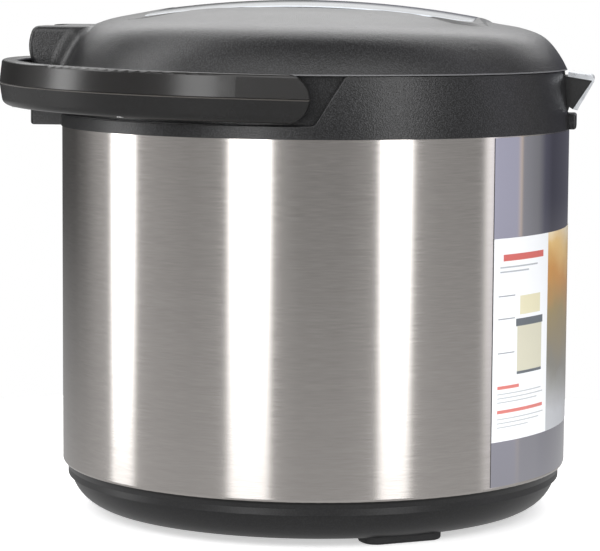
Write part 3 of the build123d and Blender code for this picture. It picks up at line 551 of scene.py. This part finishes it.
@dataclass(frozen=True)
class PrintedLabel:
    """Coated paper, offset printed: white side panels and a warm shaded field in the middle.

    The coating gives a soft sheen over faint paper fibres, which are drawn a few times wider than
    real ones so that they show.
    """

    name: str = "offset printed paper label"
    paper: str = "#eceef1"
    roughness: float = 0.32
    coat: float = 0.25
    coat_roughness: float = 0.1
    fibre_mm: float = 1.2
    fibre_depth_mm: float = 0.02
    relief: float = 0.15
    cloud_mm: float = 26.0
    drift_mm: float = 13.0
    rise_mm_per_deg: float = 0.5
    field_deg: float = 21.5
    low_mm: float = 52.0
    high_mm: float = 159.0
    field_stops: tuple[tuple[float, str], ...] = (
        (0.0, "#b4b6ba"),
        (0.25, "#7c7a72"),
        (0.5, "#94835c"),
        (0.7, "#c08a48"),
        (0.85, "#dcb878"),
        (1.0, "#f0ead6"),
    )
    patches: tuple[Patch, ...] = (
        # Heading bar and two lines under it.
        Patch(24.0, 39.5, 147.0, 150.5, "#c8625c"),
        Patch(26.7, 40.5, 143.4, 144.2, "#a9adb2"),
        Patch(30.4, 40.5, 141.0, 141.8, "#a9adb2"),
        # Plain pot: wall, rim, foot and the block above it.
        Patch(24.4, 34.5, 88.0, 116.0, "#cbc8b4"),
        Patch(24.0, 35.0, 112.0, 116.0, "#5f656b"),
        Patch(24.4, 34.5, 86.5, 88.0, "#5f656b"),
        Patch(25.3, 33.6, 118.0, 128.0, "#d9d3b4"),
        # Pointer lines beside it.
        Patch(35.4, 40.9, 128.4, 129.0, "#8e9297"),
        Patch(35.4, 40.9, 116.4, 117.0, "#8e9297"),
        Patch(35.4, 40.9, 98.4, 99.0, "#8e9297"),
        # Two small bars, each over three lines.
        Patch(33.6, 40.9, 79.6, 81.4, "#d0776f"),
        Patch(24.4, 40.9, 76.8, 77.4, "#b3b6ba"),
        Patch(23.5, 40.9, 74.6, 75.2, "#b3b6ba"),
        Patch(26.3, 40.9, 72.4, 73.0, "#b3b6ba"),
        Patch(23.5, 40.9, 66.8, 68.6, "#d0776f"),
        Patch(23.1, 40.9, 63.6, 64.2, "#b3b6ba"),
        Patch(25.3, 40.9, 61.4, 62.0, "#b3b6ba"),
        Patch(29.9, 40.9, 59.2, 59.8, "#b3b6ba"),
    )

    def build(self) -> bpy.types.Material:
        """Build the material.

        Returns:
            The finish as a node material.
        """
        material, tree, shader = new_material(self.name)
        place = add_node(tree, "ShaderNodeTexCoord")
        axes = add_node(tree, "ShaderNodeSeparateXYZ", {0: place.outputs["Object"]})
        forward = add_node(
            tree, "ShaderNodeMath", {0: axes.outputs[1], 1: -1.0}, operation="MULTIPLY"
        )
        turn = add_node(
            tree,
            "ShaderNodeMath",
            {0: axes.outputs[0], 1: forward.outputs[0]},
            operation="ARCTAN2",
        )
        angle = add_node(tree, "ShaderNodeMath", {0: turn.outputs[0]}, operation="DEGREES")
        side = add_node(tree, "ShaderNodeMath", {0: angle.outputs[0]}, operation="ABSOLUTE")
        height = add_node(
            tree, "ShaderNodeMath", {0: axes.outputs[2], 1: 1 / MM}, operation="MULTIPLY"
        )
        panel = add_node(
            tree,
            "ShaderNodeMath",
            {0: side.outputs[0], 1: self.field_deg},
            operation="GREATER_THAN",
        )
        printed = add_node(
            tree,
            "ShaderNodeMix",
            {
                "Factor": panel.outputs[0],
                MIX_UNDER: self.shade_field(tree, place, angle, height),
                MIX_OVER: linear(self.paper),
            },
            data_type="RGBA",
        ).outputs[MIX_RESULT]
        for patch in self.patches:
            printed = patch.lay(tree, printed, side, height)
        fibres = add_node(
            tree,
            "ShaderNodeTexNoise",
            {"Vector": place.outputs["Object"], "Scale": per_metre(self.fibre_mm), "Detail": 3.0},
        )
        relief = add_node(
            tree,
            "ShaderNodeBump",
            {
                "Height": fibres.outputs[0],
                "Strength": self.relief,
                "Distance": self.fibre_depth_mm * MM,
            },
        )
        tree.links.new(printed, shader.inputs["Base Color"])
        tree.links.new(relief.outputs[0], shader.inputs["Normal"])
        shader.inputs["Roughness"].default_value = self.roughness
        shader.inputs["Coat Weight"].default_value = self.coat
        shader.inputs["Coat Roughness"].default_value = self.coat_roughness
        return material

    def shade_field(
        self,
        tree: bpy.types.NodeTree,
        place: bpy.types.Node,
        angle: bpy.types.Node,
        height: bpy.types.Node,
    ) -> bpy.types.NodeSocket:
        """Shade the middle field from grey below through brown and amber to cream.

        Args:
            tree: the material's tree.
            place: its texture coordinates.
            angle: degrees from the label's middle.
            height: millimetres above the floor.

        Returns:
            The field's colour.
        """
        clouds = add_node(
            tree,
            "ShaderNodeTexNoise",
            {"Vector": place.outputs["Object"], "Scale": per_metre(self.cloud_mm), "Detail": 5.0},
        )
        drift = add_node(
            tree,
            "ShaderNodeMapRange",
            {"Value": clouds.outputs[0], "To Min": -self.drift_mm, "To Max": self.drift_mm},
        )
        slant = add_node(
            tree,
            "ShaderNodeMath",
            {0: angle.outputs[0], 1: self.rise_mm_per_deg, 2: drift.outputs[0]},
            operation="MULTIPLY_ADD",
        )
        level = add_node(
            tree, "ShaderNodeMath", {0: height.outputs[0], 1: slant.outputs[0]}, operation="ADD"
        )
        share = add_node(
            tree,
            "ShaderNodeMapRange",
            {"Value": level.outputs[0], "From Min": self.low_mm, "From Max": self.high_mm},
        )
        ramp = add_node(tree, "ShaderNodeValToRGB", {0: share.outputs[0]})
        return fill_ramp(ramp, self.field_stops).outputs[0]


@dataclass(frozen=True)
class MattLaminate:
    """Matt melamine laminate on a lit studio table: nearly white, with a faint broad mottle.

    Its own glow stands in for a table lit from below, which softens the cooker's shadow.
    """

    name: str = "pale matt laminate"
    colour: str = "#f6f6f6"
    mottle_colour: str = "#fafafa"
    mottle_mm: float = 60.0
    roughness: float = 0.8
    glow: float = 0.55

    def build(self) -> bpy.types.Material:
        """Build the material.

        Returns:
            The finish as a node material.
        """
        material, tree, shader = new_material(self.name)
        place = add_node(tree, "ShaderNodeTexCoord")
        mottle = add_node(
            tree,
            "ShaderNodeTexNoise",
            {"Vector": place.outputs["Object"], "Scale": per_metre(self.mottle_mm), "Detail": 2.0},
        )
        tone = add_node(
            tree,
            "ShaderNodeMix",
            {
                "Factor": mottle.outputs[0],
                MIX_UNDER: linear(self.colour),
                MIX_OVER: linear(self.mottle_colour),
            },
            data_type="RGBA",
        )
        tree.links.new(tone.outputs[MIX_RESULT], shader.inputs["Base Color"])
        tree.links.new(tone.outputs[MIX_RESULT], shader.inputs["Emission Color"])
        shader.inputs["Emission Strength"].default_value = self.glow
        shader.inputs["Roughness"].default_value = self.roughness
        return material


@dataclass
class CookerBody:
    """Steel shell, base, collar, liner, feet, film and label."""

    # The belt ran round the shell, so the room's lights stand on it as upright strips.
    shell: BrushedMetal = BrushedMetal(
        "brushed stainless shell",
        colour="#d0cbc7",
        shade="#c7c2be",
        roughness=0.17,
        anisotropy=0.75,
        scratch_mm=0.4,
        scratch_depth_mm=0.009,
        brushing=Brushing.ROUND,
    )
    # Drawn and lightly brushed: greyer and softer than the shell.
    liner: BrushedMetal = BrushedMetal(
        "drawn stainless liner",
        colour="#d0d0cf",
        shade="#bcbcbb",
        roughness=0.28,
        anisotropy=0.5,
        scratch_mm=0.6,
        scratch_depth_mm=0.03,
        brushing=Brushing.ROUND,
    )
    # Grained polypropylene: near black, its pale grain tips painted as highlights on the grain.
    collar: MouldedPlastic = MouldedPlastic(
        "grained polypropylene collar",
        colour="#070708",
        worn_colour="#0c0c0d",
        roughness=0.32,
        grain_mm=0.75,
        grain_depth_mm=0.18,
        tip_colour="#28282a",
    )
    # Nearly smooth polypropylene, with a dark joint where the steel stands on it.
    base: MouldedPlastic = MouldedPlastic(
        "smooth polypropylene base",
        colour="#0e0e0f",
        worn_colour="#131314",
        roughness=0.34,
        grain_mm=0.9,
        grain_depth_mm=0.03,
        rim=Rim(24.9, 26.2, "#020202"),
    )
    # Nitrile rubber: dull, so the feet stay dark under the base.
    rubber: MouldedPlastic = MouldedPlastic(
        "nitrile rubber foot",
        colour="#1c1c1d",
        worn_colour="#232324",
        roughness=0.62,
        grain_mm=0.5,
        grain_depth_mm=0.05,
        specular=0.35,
    )

    def build(self) -> None:
        """Dress the fixed pieces that show."""
        dress(["outer_shell"], self.shell.build())
        dress(["inner_liner"], self.liner.build())
        dress(["collar"], self.collar.build())
        dress(["base_cover"], self.base.build())
        dress(named("foot_"), self.rubber.build())
        dress(["front_film"], GlossFilm().build())
        dress(["front_label"], PrintedLabel().build())


@dataclass
class Fittings:
    """Screws, pins, springs and foam, which body, lid and handle have alike."""

    # Plain turned steel: grey, with faint lathe marks.
    steel: BrushedMetal = BrushedMetal(
        "turned screw steel",
        colour="#b6b6b4",
        shade="#a2a2a0",
        roughness=0.3,
        anisotropy=0.2,
        scratch_mm=0.3,
        scratch_depth_mm=0.02,
        brushing=Brushing.ALONG_X,
    )
    # Poured polyurethane foam: straw coloured and quite dull.
    foam: MouldedPlastic = MouldedPlastic(
        "poured insulating foam",
        colour="#d9cc9a",
        worn_colour="#cbbd86",
        roughness=0.9,
        grain_mm=0.8,
        grain_depth_mm=0.3,
        specular=0.2,
    )

    def build(self) -> None:
        """Dress the fittings and the foam."""
        steel = self.steel.build()
        dress(named("base_screw", "lid_screw", "handle_screw"), steel)
        dress(["hinge_pin", "hinge_spring", "latch_pin", "latch_spring"], steel)
        dress(["insulation_wall", "insulation_floor", "lid_insulation"], self.foam.build())


@dataclass
class Lid:
    """Domed cover with its plate, inner plate, seal and catch."""

    # The collar's plastic, a little glossier, with painted highlights on its grain tips and a
    # painted highlight along its lower edge.
    cover: MouldedPlastic = MouldedPlastic(
        "grained polypropylene lid",
        colour="#070708",
        worn_colour="#0c0c0d",
        roughness=0.3,
        grain_mm=0.75,
        grain_depth_mm=0.18,
        tip_colour="#29292b",
        rim=Rim(243.9, 244.8, "#626264"),
    )
    # Clear-anodised aluminium, brushed across: bluish, and nearly a mirror at a low angle.
    plate: BrushedMetal = BrushedMetal(
        "brushed aluminium plate",
        colour="#d6dbe0",
        shade="#cdd2d8",
        roughness=0.1,
        anisotropy=0.5,
        scratch_mm=0.5,
        scratch_depth_mm=0.01,
        brushing=Brushing.ALONG_X,
    )
    # Pressed steel, brushed round: soft rings of light on its steps.
    inner_plate: BrushedMetal = BrushedMetal(
        "pressed stainless inner plate",
        colour="#d2d2d1",
        shade="#c0c0bf",
        roughness=0.25,
        anisotropy=0.4,
        scratch_mm=0.6,
        scratch_depth_mm=0.02,
        brushing=Brushing.ROUND,
    )
    # Moulded silicone: grey, with a dusty sheen.
    seal: MouldedPlastic = MouldedPlastic(
        "silicone seal",
        colour="#a9a7a2",
        worn_colour="#b3b1ac",
        roughness=0.5,
        grain_mm=0.6,
        grain_depth_mm=0.02,
    )
    # Acetal: smooth and slightly waxy.
    catch: MouldedPlastic = MouldedPlastic(
        "acetal catch",
        colour="#1d1d1f",
        worn_colour="#242426",
        roughness=0.45,
        grain_mm=0.7,
        grain_depth_mm=0.04,
    )

    def build(self) -> None:
        """Dress the lid's pieces."""
        dress(["lid_cover"], self.cover.build())
        dress(["lid_top_plate"], self.plate.build())
        dress(["lid_inner_plate"], self.inner_plate.build())
        dress(["lid_gasket"], self.seal.build())
        dress(["lid_catch"], self.catch.build())


@dataclass
class CarryHandle:
    """Two-shell handle with its pins and washers."""

    # Satin ABS, worn smooth by hands: warm black with broad soft lights.
    upper: MouldedPlastic = MouldedPlastic(
        "satin ABS upper handle shell",
        colour="#161412",
        worn_colour="#1b1917",
        roughness=0.22,
        grain_mm=0.7,
        grain_depth_mm=0.03,
    )
    # The same ABS, its colour darkened as painted shade on the shell that faces down, with a
    # painted highlight along its parting edge. The edge slants as the lowered handle does.
    lower: MouldedPlastic = MouldedPlastic(
        "satin ABS lower handle shell",
        colour="#0d0c0b",
        worn_colour="#121110",
        roughness=0.27,
        grain_mm=0.7,
        grain_depth_mm=0.03,
        # Painted highlight along the parting edge.
        rim=Rim(232.0, 232.7, "#4e4b48", rise_per_y=0.01745),
    )
    # Acetal washer: plain dark and slightly waxy.
    washer: MouldedPlastic = MouldedPlastic(
        "acetal washer",
        colour="#202021",
        worn_colour="#272728",
        roughness=0.5,
        grain_mm=0.5,
        grain_depth_mm=0.02,
    )
    # Turned steel: a little paler than the screws.
    pin: BrushedMetal = BrushedMetal(
        "turned pin steel",
        colour="#b9b9b7",
        shade="#a5a5a3",
        roughness=0.3,
        anisotropy=0.2,
        scratch_mm=0.3,
        scratch_depth_mm=0.02,
        brushing=Brushing.ALONG_X,
    )

    def build(self) -> None:
        """Dress the handle's pieces."""
        dress(["handle_upper_shell"], self.upper.build())
        dress(["handle_lower_shell"], self.lower.build())
        dress(["handle_washer_left", "handle_washer_right"], self.washer.build())
        dress(["handle_pin_left", "handle_pin_right"], self.pin.build())


@dataclass
class Latch:
    """Black wedge under a bright cap."""

    # Fine-grained ABS: matt, so that the cap stands out over it.
    wedge: MouldedPlastic = MouldedPlastic(
        "fine-grained ABS latch",
        colour="#0c0c0d",
        worn_colour="#111112",
        roughness=0.38,
        grain_mm=0.6,
        grain_depth_mm=0.06,
    )

    def build(self) -> None:
        """Dress the latch."""
        dress(["latch_lever"], self.wedge.build())
        dress(["latch_cap"], ChromePlate().build())


@dataclass
class InnerPot:
    """Pot, its bail and its lid."""

    # Satin cooking steel: brighter than the liner, brushed round.
    steel: BrushedMetal = BrushedMetal(
        "satin stainless pot",
        colour="#d6d5d3",
        shade="#c4c3c1",
        roughness=0.22,
        anisotropy=0.5,
        scratch_mm=0.5,
        scratch_depth_mm=0.03,
        brushing=Brushing.ROUND,
    )
    # Pressed phenolic resin: hard, glossy, warm black.
    knob: MouldedPlastic = MouldedPlastic(
        "phenolic knob",
        colour="#171615",
        worn_colour="#1f1e1c",
        roughness=0.3,
        grain_mm=0.8,
        grain_depth_mm=0.02,
    )

    def build(self) -> None:
        """Dress the pot's pieces."""
        steel = self.steel.build()
        dress(["pot_body", "pot_base_disc", "pot_bail", "inner_lid", "inner_lid_screw"], steel)
        dress(named("pot_ear", "pot_rivet"), steel)
        dress(["bail_grip", "inner_lid_knob"], self.knob.build())


@dataclass(frozen=True)
class Band:
    """A stretch of the studio's wall, by its turn from the camera towards the cooker's front."""

    turn_deg: float
    glow: float
    colour: str = "#ffffff"


@dataclass(frozen=True)
class Panel:
    """A soft-edged panel that hangs in the tent over the walls.

    Each limit has the value where the panel starts and the value where it is whole, as a
    direction's share: raised is upwards, and facing is towards the camera, negative beyond the
    cooker.
    """

    name: str
    glow: float
    raised: tuple[float, float]
    facing: tuple[float, float] | None = None


@dataclass
class Studio:
    """Floor, light tent and camera."""

    camera_turn_deg: float = 186.0
    camera_reach: float = 1.498
    camera_height: float = 0.2926
    camera_pitch_deg: float = 6.273
    camera_roll_deg: float = 0.375
    aim_left: float = 0.00797
    focal_px: float = 2698.7
    picture_width_px: int = 600
    sensor_mm: float = 36.0
    view_depth: float = 100.0
    floor_r: float = 0.42
    floor_sides: int = 96
    floor_drop_mm: float = 0.1
    strip_glow: float = 5.0
    walls: tuple[Band, ...] = (
        Band(-180, 0.08),
        Band(-138, 0.07),
        Band(-126, 0.17),
        Band(-115, 0.4),
        Band(-104, 0.55),
        Band(-101.4, 5.0),
        Band(-89, 5.0),
        Band(-86.5, 0.5),
        Band(-76, 0.42),
        Band(-56, 0.3),
        Band(-39, 0.34),
        Band(-36.3, 5.0),
        Band(-20.6, 5.0),
        Band(-18.3, 0.4),
        Band(-6, 0.22),
        Band(12, 0.22),
        Band(28, 0.36),
        Band(30.1, 5.0),
        Band(41.8, 5.0),
        Band(44.1, 0.42),
        Band(58, 0.34),
        Band(80, 0.32),
        Band(83.4, 1.7),
        Band(87, 1.7, "#f6f4ff"),
        Band(88, 0.74, "#f2f2ff"),
        Band(103.4, 0.7, "#f2f2ff"),
        Band(105, 1.0, "#ffe9cc"),
        Band(106.6, 0.42),
        Band(120, 0.3),
        Band(126, 0.17, "#eaeaff"),
        Band(134, 0.11, "#eaeaff"),
        Band(160, 0.13, "#eaeaff"),
    )
    panels: tuple[Panel, ...] = (
        Panel("front fill", 2.4, (0.2, 0.45), (0.2, 0.55)),
        Panel("front dome", 0.2, (0.72, 0.93), (-0.3, 0.1)),
        Panel("low sweep", 0.9, (0.09, 0.15), (-0.93, -0.985)),
        Panel("high sweep", 2.6, (0.26, 0.4), (-0.5, -0.8)),
        Panel("ceiling", 2.6, (0.6, 0.8), (-0.12, -0.3)),
        Panel("overhead", 0.3, (0.96, 0.995)),
        Panel("below the floor", 0.52, (-0.08, -0.2)),
    )

    def build(self) -> None:
        """Set up floor, light and camera."""
        self.lay_floor()
        self.hang_tent()
        self.set_camera()

    def lay_floor(self) -> None:
        """Lay a pale round table under the cooker, kept out of mirror reflections."""
        mesh = bpy.data.meshes.new("pale_floor")
        shape = bmesh.new()
        bmesh.ops.create_circle(
            shape, cap_ends=True, radius=self.floor_r, segments=self.floor_sides
        )
        shape.to_mesh(mesh)
        shape.free()
        mesh.materials.append(MattLaminate().build())
        floor = bpy.data.objects.new("pale_floor", mesh)
        floor.location.z = -self.floor_drop_mm * MM
        floor.visible_glossy = False
        bpy.context.scene.collection.objects.link(floor)

    def hang_tent(self) -> None:
        """Surround the cooker with a tent: pale and dark walls, with soft panels over them."""
        world = bpy.data.worlds.new("light tent")
        bpy.context.scene.world = world
        world.use_nodes = True
        tree = world.node_tree
        tree.nodes.clear()
        place = add_node(tree, "ShaderNodeTexCoord")
        turned = add_node(
            tree,
            "ShaderNodeMapping",
            {
                "Vector": place.outputs["Generated"],
                "Rotation": (0.0, 0.0, -math.radians(self.camera_turn_deg)),
            },
        )
        axes = add_node(tree, "ShaderNodeSeparateXYZ", {0: turned.outputs[0]})
        room = self.raise_walls(tree, axes)
        for panel in self.panels:
            level = panel.glow / self.strip_glow
            room = add_node(
                tree,
                "ShaderNodeMix",
                {
                    "Factor": self.place_panel(tree, axes, panel),
                    MIX_UNDER: room,
                    MIX_OVER: (level, level, level, 1.0),
                },
                data_type="RGBA",
                label=panel.name,
            ).outputs[MIX_RESULT]
        lit = add_node(tree, "ShaderNodeBackground", {"Color": room, "Strength": self.strip_glow})
        backdrop = add_node(
            tree, "ShaderNodeBackground", {"Color": linear("#ffffff"), "Strength": 1.0}
        )
        ray = add_node(tree, "ShaderNodeLightPath")
        seen = add_node(
            tree,
            "ShaderNodeMixShader",
            {0: ray.outputs["Is Camera Ray"], 1: lit.outputs[0], 2: backdrop.outputs[0]},
        )
        add_node(tree, "ShaderNodeOutputWorld", {0: seen.outputs[0]})

    def raise_walls(
        self, tree: bpy.types.NodeTree, axes: bpy.types.Node
    ) -> bpy.types.NodeSocket:
        """Light the tent's walls by their bands, as shares of the strips' light.

        Args:
            tree: the world's tree.
            axes: the direction, turned so that its first axis faces the camera.

        Returns:
            The walls' colour.
        """
        turn = add_node(
            tree,
            "ShaderNodeMath",
            {0: axes.outputs[1], 1: axes.outputs[0]},
            operation="ARCTAN2",
        )
        share = add_node(
            tree,
            "ShaderNodeMapRange",
            {"Value": turn.outputs[0], "From Min": -math.pi, "From Max": math.pi},
        )
        walls = add_node(tree, "ShaderNodeValToRGB", {0: share.outputs[0]})
        return fill_ramp(
            walls,
            [((band.turn_deg + 180) / 360, band.colour) for band in self.walls],
            [band.glow / self.strip_glow for band in self.walls],
        ).outputs[0]

    def place_panel(
        self, tree: bpy.types.NodeTree, axes: bpy.types.Node, panel: Panel
    ) -> bpy.types.NodeSocket:
        """Find where in the tent a panel hangs, with soft edges.

        Args:
            tree: the world's tree.
            axes: the direction, turned so that its first axis faces the camera.
            panel: the panel.

        Returns:
            One inside the panel and nought outside it.
        """
        edges = [(axes.outputs[2], panel.raised)]
        if panel.facing:
            edges.append((axes.outputs[0], panel.facing))
        share: bpy.types.NodeSocket | float = 1.0
        for direction, (start, whole) in edges:
            part = add_node(
                tree,
                "ShaderNodeMapRange",
                {"Value": direction, "From Min": start, "From Max": whole},
            )
            share = add_node(
                tree, "ShaderNodeMath", {0: part.outputs[0], 1: share}, operation="MULTIPLY"
            ).outputs[0]
        return share

    def set_camera(self) -> None:
        """Stand the camera where the photograph was taken from."""
        turn = math.radians(self.camera_turn_deg)
        up = Vector((0.0, 0.0, 1.0))
        outward = Vector((math.cos(turn), math.sin(turn), 0.0))
        right = (-outward).cross(up)
        position = outward * self.camera_reach + up * self.camera_height
        drop = self.camera_reach * math.tan(math.radians(self.camera_pitch_deg))
        target = up * (self.camera_height - drop) - right * self.aim_left
        look = (target - position).to_track_quat("-Z", "Y").to_matrix().to_4x4()
        roll = Matrix.Rotation(math.radians(self.camera_roll_deg), 4, "Z")
        data = bpy.data.cameras.new("photo_camera")
        data.sensor_width = self.sensor_mm
        data.lens = self.focal_px / self.picture_width_px * self.sensor_mm
        data.clip_end = self.view_depth
        camera = bpy.data.objects.new("photo_camera", data)
        camera.matrix_world = Matrix.Translation(position) @ look @ roll
        bpy.context.scene.collection.objects.link(camera)
        bpy.context.scene.camera = camera
        bpy.context.scene.view_settings.view_transform = "Standard"


def main() -> None:
    """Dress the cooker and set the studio."""
    logging.basicConfig(level=logging.INFO, format="%(message)s")
    round_shading(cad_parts)
    for assembly in (CookerBody(), Fittings(), Lid(), CarryHandle(), Latch(), InnerPot(), Studio()):
        assembly.build()


if __name__ == "__main__":
    main()
